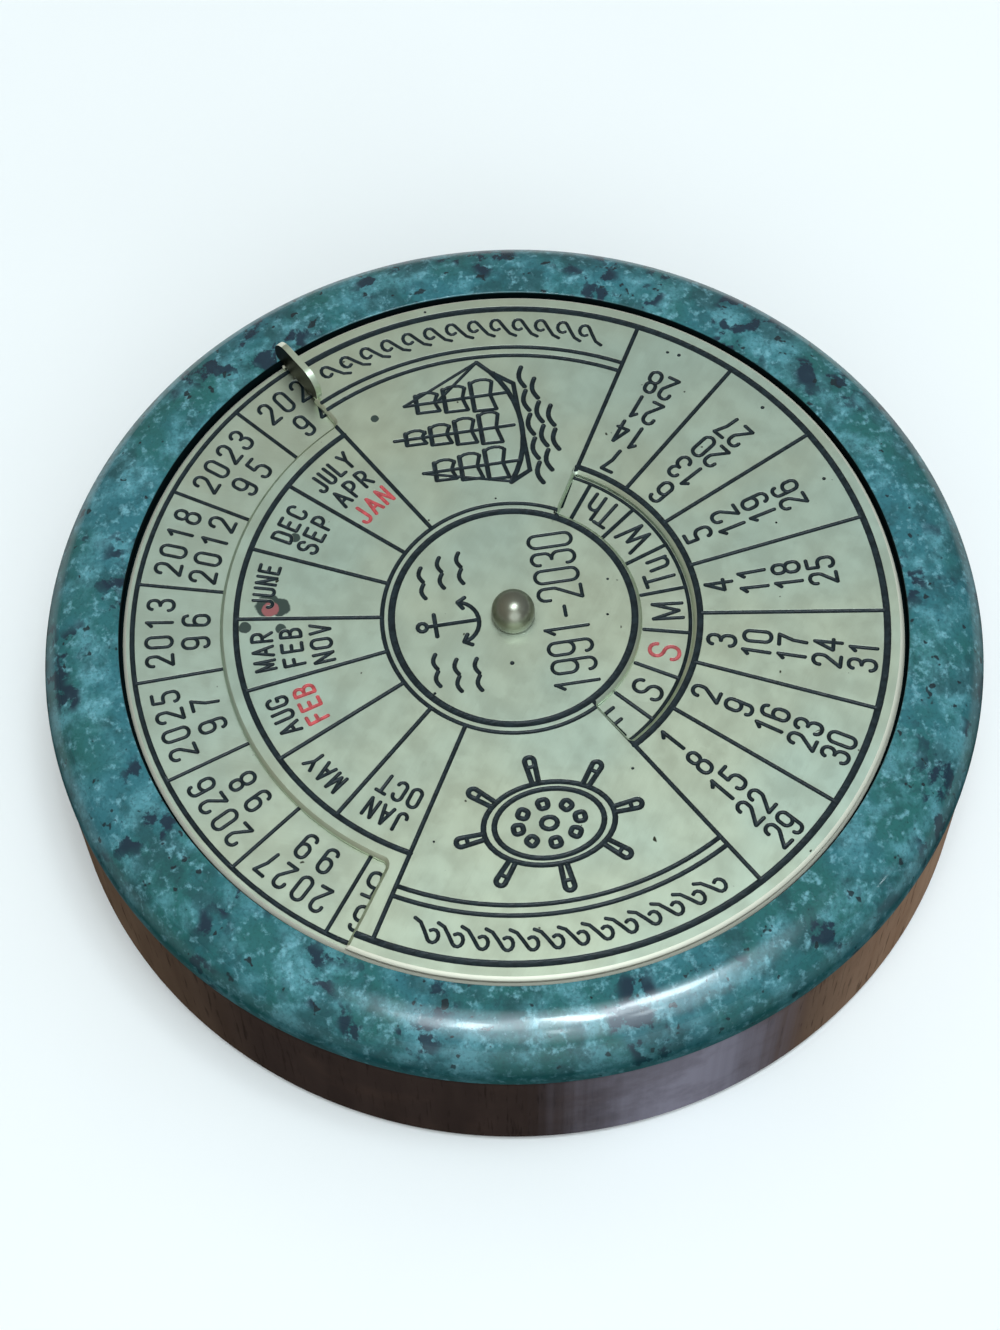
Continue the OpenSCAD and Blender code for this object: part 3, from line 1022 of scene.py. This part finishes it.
# %% Materials
def rgb(red_part, green_part, blue_part):
    """A colour given as it looks on a screen, from 0 to 255, as the linear one that a shader needs."""
    parts = [part / 255 for part in (red_part, green_part, blue_part)]
    return tuple(p / 12.92 if p < 0.04045 else ((p + 0.055) / 1.055) ** 2.4 for p in parts) + (1,)


class Finish(Nodes):
    """A material in the making: its shader, the object's place in millimetres, the colour so far."""

    def __init__(self, name, colour, **sockets):
        self.material = bpy.data.materials.new(name)
        self.material.use_nodes = True
        super().__init__(self.material.node_tree)
        self.shader = self.tree.nodes["Principled BSDF"]
        for socket, value in sockets.items():
            self.shade(socket.replace("_", " "), value)
        place = self.add("TexCoord")["Object"]
        self.place = self.add("Mapping", {"Vector": place, "Scale": (1 / MM,) * 3})["Vector"]
        self.colour = rgb(*colour)

    def shade(self, socket, value):
        """Feeds one of the shader's inputs."""
        self.feed(self.shader.inputs[socket], value)

    def mask(self, effect, place=None, **values):
        """One of the shared effects, with its own values."""
        node = self.tree.nodes.new("ShaderNodeGroup")
        node.node_tree = effect.tree
        self.feed(node.inputs["Vector"], self.place if place is None else place)
        for name, value in values.items():
            node.inputs[name.capitalize()].default_value = value
        return node.outputs["Mask"]

    def cloud(self, scale, detail, low, high, place=None):
        """Patches: how fine, how detailed, and at which level of the noise they start and are full."""
        return self.mask(clouds, place, scale=scale, detail=detail, low=low, high=high)

    def outside(self, radius):
        """A mask for what lies further from the pin than a radius."""
        away = self.vector("LENGTH", self.vector("MULTIPLY", self.place, (1, 1, 0)))
        return self.calc("GREATER_THAN", away, radius)

    def inverse(self, mask):
        """A mask's opposite."""
        return self.calc("SUBTRACT", 1.0, mask)

    def tint(self, mask, colour, share=1, blend="MIX"):
        """Lays a colour over the colour so far, where a mask says. The share says how thickly."""
        factor = mask if share == 1 else self.spread(mask, 0, share)
        self.colour = self.mix(factor, self.colour, rgb(*colour), blend)

    def relief(self, height, distance):
        """Raises the surface a little, by a height in millimetres."""
        bump = self.add("Bump", {"Height": height, "Distance": distance * MM, "Strength": 1.0})
        self.shade("Normal", bump["Normal"])

    def finished(self):
        """Gives the shader its colour, and returns the material."""
        self.shade("Base Color", self.colour)
        print("finish", self.material.name, "with", len(self.tree.nodes), "nodes")
        return self.material

# %% [markdown]
# ## Brass and enamel
#
# The plates are pale, lacquered brass with a satin skin. Two tints drift over each other, the
# rolling lines show faintly, and here and there the lacquer has a dark pinhole. The rounded rim
# is painted near white, a painted highlight, and the finger tab is painted dark, as painted shade.
# The enamel in the grooves is nearly black, and the groove's lip, within a few hundredths of a
# millimetre of the face, is bare metal.

# %% Brass
rim_ease = 0.32          # how far the rounding of the plates' rims reaches


def brass(name, warm, cool, roughness, angle, smears=(), rim=99):
    """Satin brass with smears at given places. Past the rim's radius it is painted near white, a painted
    highlight, and is rougher and less metallic.
    """
    skin = Finish(name, warm, Metallic=1.0)
    skin.tint(skin.cloud(0.035, 3, 0.35, 0.65), cool)
    rolling = skin.mask(hairlines, length=40, width=0.12, angle=angle)
    skin.tint(rolling, (120, 122, 98), 0.08, "MULTIPLY")
    stain = skin.cloud(0.16, 6, 0.56, 0.8)
    skin.tint(stain, (150, 146, 118), 0.2)
    pinholes = skin.cloud(1.1, 1, 0.79, 0.83)
    skin.tint(pinholes, (60, 60, 48))
    haze = skin.cloud(0.4, 5, 0.3, 0.7)
    rough = skin.spread(haze, roughness - 0.02, roughness + 0.06)
    for x, y, radius, colour in smears:
        smear = skin.mask(spot, x=x, y=y, radius=radius)
        skin.tint(smear, colour)
        rough = skin.add("Mix", {0: smear, 2: rough, 3: 0.5})[0]
    highlight_rim = skin.outside(rim)
    # painted highlight: the rounded rim and the outer wall are painted near white
    skin.tint(highlight_rim, (244, 242, 222))
    skin.shade("Roughness", skin.add("Mix", {0: highlight_rim, 2: rough, 3: 0.42})[0])
    skin.shade("Metallic", skin.spread(highlight_rim, 1.0, 0.4))
    skin.relief(rolling, 0.003)
    return skin.finished()


grey, pink = (78, 90, 84), (176, 112, 112)
SMEARS = [(4.6, 21.6, 1.3, grey), (4.3, 20.6, 1.05, grey), (4.2, 21.5, 0.8, pink),
          (2.7, 24.0, 0.6, grey), (2.1, 20.8, 0.55, grey), (11.3, 18.4, 0.55, grey), (22.9, 9.4, 0.4, grey)]
dial_brass = brass("dial_brass", (214, 222, 197), (206, 224, 207), 0.34, 0.6, SMEARS, dial_r - rim_ease)
year_brass = brass("year_brass", (214, 222, 198), (208, 224, 207), 0.34, 1.9, (), year_r - rim_ease)
# painted shade: the tab's brass is painted dark olive, as its face lies in shade
tab_brass = brass("tab_brass", (56, 55, 36), (47, 48, 33), 0.36, 0.6)


# %% Enamel
def enamel(name, colour, height):
    """Enamel in grooves whose lip, just below a face at a height, is bare metal."""
    fill = Finish(name, colour, Specular_IOR_Level=0.3)
    bare = fill.mask(near_face, height=height, band=lip * 0.9)
    patchy = fill.cloud(1.6, 4, 0.35, 0.7)
    fill.tint(patchy, [min(255, part * 1.4 + 8) for part in colour], 0.6)
    fill.tint(bare, (214, 222, 204))
    fill.shade("Metallic", bare)
    fill.shade("Roughness", fill.spread(patchy, 0.3, 0.5))
    fill.relief(patchy, 0.02)
    return fill.finished()


ink = (12, 24, 28)
dial_dark = enamel("dial_dark_enamel", ink, face_z)
dial_red = enamel("dial_red_enamel", (160, 66, 68), face_z)
year_dark = enamel("year_dark_enamel", ink, year_face_z)
year_red = enamel("year_red_enamel", (156, 72, 74), year_face_z)

# %% [markdown]
# ## The stone
#
# Green marble is a stack of colours: broad drifts of green and teal, pale crystal patches, a
# fine mottle of light grains, dark blue inclusions in clumps, and a few loose black dots. A
# polish lies over the top and the rolled rim. It fades down the wall, whose lower part is painted
# darker as painted shade, and it is missing in the recess, which was left rough and is painted
# nearly black as painted shade.

# %% Colours of the marble
stone = Finish("green_marble", (30, 96, 94), Coat_Roughness=0.05)
swirl = stone.add("TexNoise", {"Vector": stone.place, "Scale": 0.11, "Detail": 3.0})["Color"]
push = stone.add("VectorMath", {0: swirl, "Scale": 3.0}, operation="SCALE")["Vector"]
warped = stone.vector("ADD", stone.place, push)
drift = stone.cloud(0.09, 3, 0.38, 0.62, warped)
stone.tint(drift, (44, 108, 118))
patches = stone.cloud(0.3, 6, 0.45, 0.66, warped)
stone.tint(patches, (92, 154, 164), 0.8)
deep = stone.cloud(0.24, 6, 0.48, 0.64)
stone.tint(deep, (18, 68, 72), 0.75)
mottle = stone.cloud(1.1, 4, 0.52, 0.74)
stone.tint(mottle, (126, 184, 196), 0.7)
grains = stone.cloud(3.4, 3, 0.44, 0.76)
stone.tint(grains, (16, 60, 68), 0.5)
clumps = stone.cloud(0.1, 3, 0.5, 0.58, warped)
inclusions = stone.cloud(0.42, 6, 0.51, 0.565, warped)
stone.tint(stone.calc("MULTIPLY", clumps, inclusions), (8, 36, 54), 0.95)
dots = stone.cloud(0.75, 2, 0.66, 0.7)
stone.tint(dots, (6, 24, 32), 0.9)

# %% Polish and painted shade of the marble
in_recess = stone.inverse(stone.outside(recess_r + 0.02))
sunk = stone.inverse(stone.mask(near_face, height=face_z, band=0.15))
shaded_recess = stone.calc("MULTIPLY", in_recess, sunk)
shaded_low_wall = stone.inverse(stone.mask(near_face, height=slab_z + 4.3, band=2.6))
# painted shade: the wall is painted darker towards its foot, next to the base
stone.tint(shaded_low_wall, (8, 40, 42), 0.75)
# painted shade: the recess floor and wall are painted nearly black
stone.tint(shaded_recess, (6, 18, 20))
matt = stone.calc("MAXIMUM", shaded_recess, shaded_low_wall)
for socket, polished, dull in (("Roughness", 0.14, 0.7), ("Coat Weight", 0.3, 0.0),
                               ("Specular IOR Level", 0.5, 0.02)):
    stone.shade(socket, stone.spread(matt, polished, dull))
stone.relief(mottle, 0.004)
marble = stone.finished()

# %% [markdown]
# ## Wood, nickel and felt
#
# The base is stained nearly black: long grain, small pores, and a worn patch. A pale sheen at
# the front is a painted reflection, and the two sides are painted lighter and browner as they are
# lit, the one on the right the palest. The pin is polished nickel, painted darker round its foot
# as painted shade, and the felt is a matt tangle of fibres.

# %% Wood
timber = Finish("stained_wood", (36, 28, 26), Specular_IOR_Level=0.0)
grain = timber.mask(hairlines, length=26, width=2.4, angle=0.0)
pores = timber.mask(hairlines, length=5, width=0.3, angle=0.0)
timber.tint(grain, (56, 45, 41))
# Each side, painted lighter as it is lit: the way it faces, where it starts and is full as shares of the
# radius, and two colours.
SIDES = (((0.12, 0.99, 0), 0.52, 0.92, (74, 56, 44), (112, 92, 76)),
         ((-0.12, -0.99, 0), 0.38, 0.86, (112, 84, 66), (150, 124, 104)))
for outwards, start, full, deep, pale in SIDES:
    sideways = timber.vector("DOT_PRODUCT", timber.place, outwards)
    lit_side = timber.spread(sideways, 0, 1, start * base_r, full * base_r, eased=True)
    # painted light: each side is painted lighter and browner, with the grain between two colours
    timber.colour = timber.mix(lit_side, timber.colour, timber.mix(grain, rgb(*deep), rgb(*pale)))
timber.tint(timber.spread(pores, 0, 1, 0.58, 0.7), (22, 16, 14), 0.5)
worn = timber.cloud(0.2, 5, 0.45, 0.8)
timber.tint(worn, (70, 54, 46), 0.25)
# painted reflection: a pale bluish sheen on the front of the wall
painted_sheen = timber.mask(spot, x=-41.5, y=-8.0, radius=7.6, soft=0.95)
wisps = timber.cloud(0.16, 6, 0.35, 0.6)
timber.tint(timber.calc("MULTIPLY", painted_sheen, timber.spread(wisps, 0.65, 1.0)), (122, 118, 130))
timber.shade("Roughness", timber.spread(worn, 0.26, 0.42))
timber.relief(pores, 0.01)
wood = timber.finished()

# %% Nickel and steel
def metal(name, colour, darker, roughness, length, width, foot=-99):
    """Polished metal with fine lines, painted darker just above its foot as painted shade."""
    skin = Finish(name, colour, Metallic=1.0)
    polish = skin.mask(hairlines, length=length, width=width, angle=0.0)
    skin.tint(polish, darker)
    above = skin.mask(near_face, height=foot + 1.5, band=1.3)
    # painted shade: the metal is painted dark olive round its foot
    skin.colour = skin.mix(above, rgb(78, 80, 64), skin.colour)
    skin.shade("Roughness", skin.spread(polish, roughness, roughness + 0.12))
    return skin.finished()


nickel = metal("polished_nickel", (154, 153, 138), (136, 137, 122), 0.24, 4, 0.5, face_z)
zinc = metal("zinc_steel", (170, 174, 178), (120, 122, 124), 0.3, 3, 0.1)


# %% Felt and the thin layers
def matted(name, colour, darker, roughness, scale, lift):
    """A matt surface that is a tangle of two tones."""
    skin = Finish(name, darker, Roughness=roughness)
    tangle = skin.cloud(scale, 8, 0.3, 0.7)
    skin.tint(tangle, colour)
    skin.relief(tangle, lift)
    return skin.finished()


felt_green = matted("green_felt", (46, 92, 70), (18, 44, 32), 0.95, 2.2, 0.2)
adhesive = matted("dark_adhesive", (44, 40, 36), (24, 22, 20), 0.5, 0.6, 0.03)
film = matted("slip_film", (222, 220, 208), (200, 198, 186), 0.4, 0.3, 0.01)

# %% [markdown]
# ## The brass plates
#
# Each plate starts as a cylinder. The dial's notch and window are cut with curved bars, and the
# rims are eased before the engraving, because a bevel would otherwise run into the grooves. The
# faces are then divided into squares: one face that ran round a hundred letters would be hard to
# triangulate. The finger tab is a flat blade with rounded corners whose foot is spun through a
# right angle, as a bending tool does to the real one. Solidify gives it the plate's thickness.

# %% Year plate
year_low = bottom("year_plate")
year_bore_r = 1.4
year_plate = finish_with(disc("year_plate_etched", year_r, year_low, year_face_z), year_brass)
combine(year_plate, disc("bore", year_bore_r, year_low - 1, year_face_z + 1, 48))
ease_rims(year_plate, year_face_z, rim_ease, 0.3)
divide(year_plate)
engrave(year_plate, year_job, year_face_z, year_dark)
engrave(year_plate, year_red_job, year_face_z, year_red)
smooth(year_plate)
report(year_plate)

# %% Finger tab
tab_in, tab_out, tab_low = 29.4, 35.9, 0.35
tab_top = top("dial_plate") - face_z
upper_corner, lower_corner = 1.9, 0.45
neck_in, neck_out, bend_r = 29.9, 34.6, 0.3
tab = finish_with(section("tab", tab_in, tab_out, face_z + tab_low, face_z + tab_top), tab_brass, dial_brass)
edit(tab)
for x in (tab_in, tab_out):
    round_corner(tab, x, face_z + tab_top, upper_corner, 8)
    round_corner(tab, x, face_z + tab_low, lower_corner, 4)
for x in (neck_in, neck_out):
    slice_at(x, 0, 0, (1, 0, 0))


def on_foot(p):
    """Whether a vertex is on the stretch of the lower edge that joins the dial."""
    return p.z < face_z + tab_low + 0.01 and neck_in - 0.01 < p.x < neck_out + 0.01


print("foot edges", pick(tab, "edges", lambda a, b: on_foot(a) and on_foot(b)))
pull(0, 0, bend_r - tab_low)
bend_y = -(plate_t + bend_r)
bpy.ops.mesh.spin(steps=8, angle=math.radians(90), center=(0, bend_y * MM, (face_z + bend_r) * MM),
                  axis=(1, 0, 0))
bpy.ops.object.mode_set(mode="OBJECT")
thicken = tab.modifiers.new("thickness", "SOLIDIFY")
thicken.thickness = plate_t * MM
thicken.offset = 1
thicken.use_even_offset = True
thicken.material_offset_rim = 1
bpy.ops.object.modifier_apply(modifier=thicken.name)
edit(tab)
done(tab)
report(tab)

# %% Dial plate
dial_bore_r = 1.3
through = (dial_z - 1, face_z + 1)      # heights between which a tool cuts right through the dial
notch_r, notch_from, notch_to, notch_corner = 26.4, 29.5, 146.8, 0.7
window_in, window_out, window_from, window_to, window_corner = 11.6, 16.2, 210.3, 330.2, 0.35
dial = finish_with(disc("dial_plate_etched", dial_r, dial_z, face_z), dial_brass)
combine(dial, disc("bore", dial_bore_r, *through, 48))
combine(dial, curved_bar("notch", notch_r, dial_r + 3, notch_from, notch_to, *through, notch_corner))
combine(dial, curved_bar("window", window_in, window_out, window_from, window_to, *through, window_corner))
ease_rims(dial, face_z, rim_ease, 0.3)
divide(dial)
slot_box = section("slot_box", neck_in, neck_out, *through)
edit(slot_box)
bpy.ops.mesh.select_all(action="SELECT")
pull(0, bend_y - 1, 0)
bpy.ops.mesh.select_all(action="SELECT")
bpy.ops.transform.translate(value=(0, MM, 0))
done(slot_box)
for piece in (slot_box, tab):
    piece.rotation_euler.z = math.radians(notch_from)
    apply_place(piece)
combine(dial, slot_box)
combine(dial, tab, "UNION")
engrave(dial, black, face_z, dial_dark)
engrave(dial, red, face_z, dial_red)
smooth(dial)
report(dial)

# %% [markdown]
# ## The pivot pin
#
# One turned part: a domed, polished head on a short straight collar, a shank, and a thread that
# the nut holds from below. Its half section is a plane whose upper corner is rounded by a full
# radius, with the shank extruded down from its inner part.

# %% Pivot pin
pin_low = bottom("pivot_pin")
pin_top = top("pivot_pin")
head_low = face_z + 0.03
pin_r, head_r = 1.25, 1.95
thread_turns, pitch, thread_depth = 12, 0.45, 0.24
pin = section("pin_turned", 0, head_r, head_low, pin_top)
edit(pin)
round_corner(pin, head_r, pin_top, head_r * 0.999, 20)
round_corner(pin, head_r, head_low, 0.12, 3)
slice_at(pin_r, 0, 0, (1, 0, 0))
pick(pin, "edges", lambda a, b: max(a.z, b.z) < head_low + 0.001 and max(a.x, b.x) < pin_r + 0.001)


def draw_down(length, narrower):
    """Pulls the shank's end down and moves its outer corner towards the axis."""
    pull(0, 0, -length)
    mesh = bmesh.from_edit_mesh(pin.data)
    outer = max((v for v in mesh.verts if v.select), key=lambda v: v.co.x)
    outer.co.x -= narrower * MM
    bmesh.update_edit_mesh(pin.data)


draw_down(head_low - pin_low - thread_turns * pitch, thread_depth)
for i in range(thread_turns):
    draw_down(pitch / 2, -thread_depth)
    draw_down(pitch / 2, thread_depth)
turn(pin, 96)
smooth(pin, 50)
finish_with(pin, nickel)
report(pin)

# %% [markdown]
# ## Everything in its place
#
# The new pieces stand for the plain solids of the model and ride on the same bodies: the dial
# turns, the rest stays. The solids that keep their shape, all of them hidden inside, get a
# finish in their own slots.

# %% Bodies and slots
finish_with(slab, marble)
finish_with(base, wood)
finish_with(felt, felt_green)
dressed = [(slab, "marble_slab", "base", "marble"), (base, "wood_base", "base", "stained_wood"),
           (felt, "felt_pad", "base", "felt"), (year_plate, "year_plate", "base", "etched_brass"),
           (dial, "dial_plate", "dial", "etched_brass"), (pin, "pivot_pin", "base", "nickel")]
for piece, node, body, slot in dressed:
    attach(piece, body)
    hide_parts(node)
kept = {"bond_disc": adhesive, "plate_tape": film, "slip_washer": film,
        "flat_washer": zinc, "spring_washer": zinc, "pin_nut": zinc}
for node, finish in kept.items():
    finish_with(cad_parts[node], finish)
print("pieces", [piece.name for piece, *_ in dressed], "and kept solids", sorted(kept))

# %% [markdown]
# ## Desk, light and camera
#
# The desk is a pale plain surface. Light comes from a soft sky that is warmer on one side and
# cooler on the other, with a bright patch overhead and a window behind the viewer. A broad lamp
# that reflections don't show fills the shadows, six small cool ones draw the bright streaks on
# the stone's rim, and a wide dim one the halo round them. The camera looks down at about sixty
# degrees.

# %% Desk
bpy.ops.mesh.primitive_plane_add(size=6, location=(0, 0, 0))
desk = apply_place(bpy.context.object)
desk.name = "desk"
edit(desk)
bpy.ops.mesh.select_all(action="SELECT")
bpy.ops.mesh.subdivide(number_cuts=4)
bpy.ops.object.mode_set(mode="OBJECT")
surface = Finish("pale_desk", (244, 244, 243), Roughness=0.6)
surface.tint(surface.cloud(0.01, 3, 0.3, 0.7), (247, 247, 246))
finish_with(desk, surface.finished())

# %% Sky
world = bpy.data.worlds.new("studio")
bpy.context.scene.world = world
world.use_nodes = True
sky = Nodes(world.node_tree)
direction = sky.add("TexCoord")["Generated"]
across = sky.vector("DOT_PRODUCT", direction, (0.14, -0.99, 0.0))
colour = sky.mix(sky.spread(across, 0, 1, -0.8, 0.8), (0.97, 0.97, 0.88, 1), (0.88, 0.97, 1.0, 1))
height = sky.add("SeparateXYZ", {"Vector": direction})["Z"]
power = sky.spread(height, 0.28, 0.41, 0.1, 0.8)
# Each patch: the way to its middle, where it starts and is full, its power and how much it cools.
CEILING = ((-0.16, -0.07, 0.985), 0.93, 0.99, 3.4, 0.3)
WINDOW = ((-0.88, 0.0, 0.47), 0.82, 0.95, 1.4, 0.5)
for towards, start, full, most, cooling in (CEILING, WINDOW):
    nearness = sky.vector("DOT_PRODUCT", direction, towards)
    patch = sky.spread(nearness, 0, most, start, full, eased=True)
    colour = sky.mix(sky.calc("MULTIPLY", patch, cooling), colour, (0.82, 0.96, 1.06, 1))
    power = sky.calc("ADD", power, patch)
background = sky.tree.nodes["Background"]
sky.feed(background.inputs["Color"], colour)
sky.feed(background.inputs["Strength"], power)
print("sky with", len(sky.tree.nodes), "nodes")


# %% Lamps
def lamp(name, direction, width, height, power):
    """A rectangular lamp, one metre away, that shines at the calendar. Its height runs up the sky."""
    light = bpy.data.lights.new(name, "AREA")
    light.shape = "RECTANGLE"
    light.size, light.size_y = width, height
    light.energy = power
    holder = in_scene(name, light)
    holder.location = Vector(direction).normalized()
    holder.rotation_euler = (-holder.location).to_track_quat("-Z", "Y").to_euler()
    return holder


fill = lamp("fill", (-0.25, -0.1, 1.0), 0.8, 0.6, 1.35)
fill.visible_glossy = False
LAMPS = {"left": ((-0.17, 0.10, 0.98), 0.04, 0.10, 0.32), "middle": ((-0.11, -0.06, 0.99), 0.05, 0.13, 0.6),
         "dash": ((-0.29, -0.02, 0.96), 0.03, 0.06, 0.08), "streak": ((-0.04, -0.17, 0.98), 0.10, 0.11, 0.7),
         "low_dash": ((-0.23, -0.17, 0.96), 0.05, 0.05, 0.08),
         "glint": ((-0.24, -0.71, 0.66), 0.02, 0.04, 0.06), "halo": ((-0.13, -0.03, 0.98), 0.5, 0.15, 0.85)}
for name, values in LAMPS.items():
    lamp(name, *values).data.color = (0.8, 0.94, 1.0)
print("lamps", len(LAMPS) + 1)

# %% Camera
eye = Vector((-118.18, 17.43, face_z + 214.91))
aim = Vector((-4.80, 1.97, face_z))
roll = -1.5
lens = bpy.data.cameras.new("camera")
lens.sensor_fit = "VERTICAL"
lens.sensor_height = 36
lens.lens = 74.02
lens.clip_start = 0.01
camera = in_scene("camera", lens)
look = (aim - eye).to_track_quat("-Z", "Y").to_matrix().to_4x4()
camera.matrix_world = Matrix.Translation(eye * MM) @ look @ Matrix.Rotation(math.radians(roll), 4, "Z")
bpy.context.scene.camera = camera
bpy.context.scene.view_settings.view_transform = "Standard"
print(f"camera {(eye - aim).length:.0f} mm away from what it looks at")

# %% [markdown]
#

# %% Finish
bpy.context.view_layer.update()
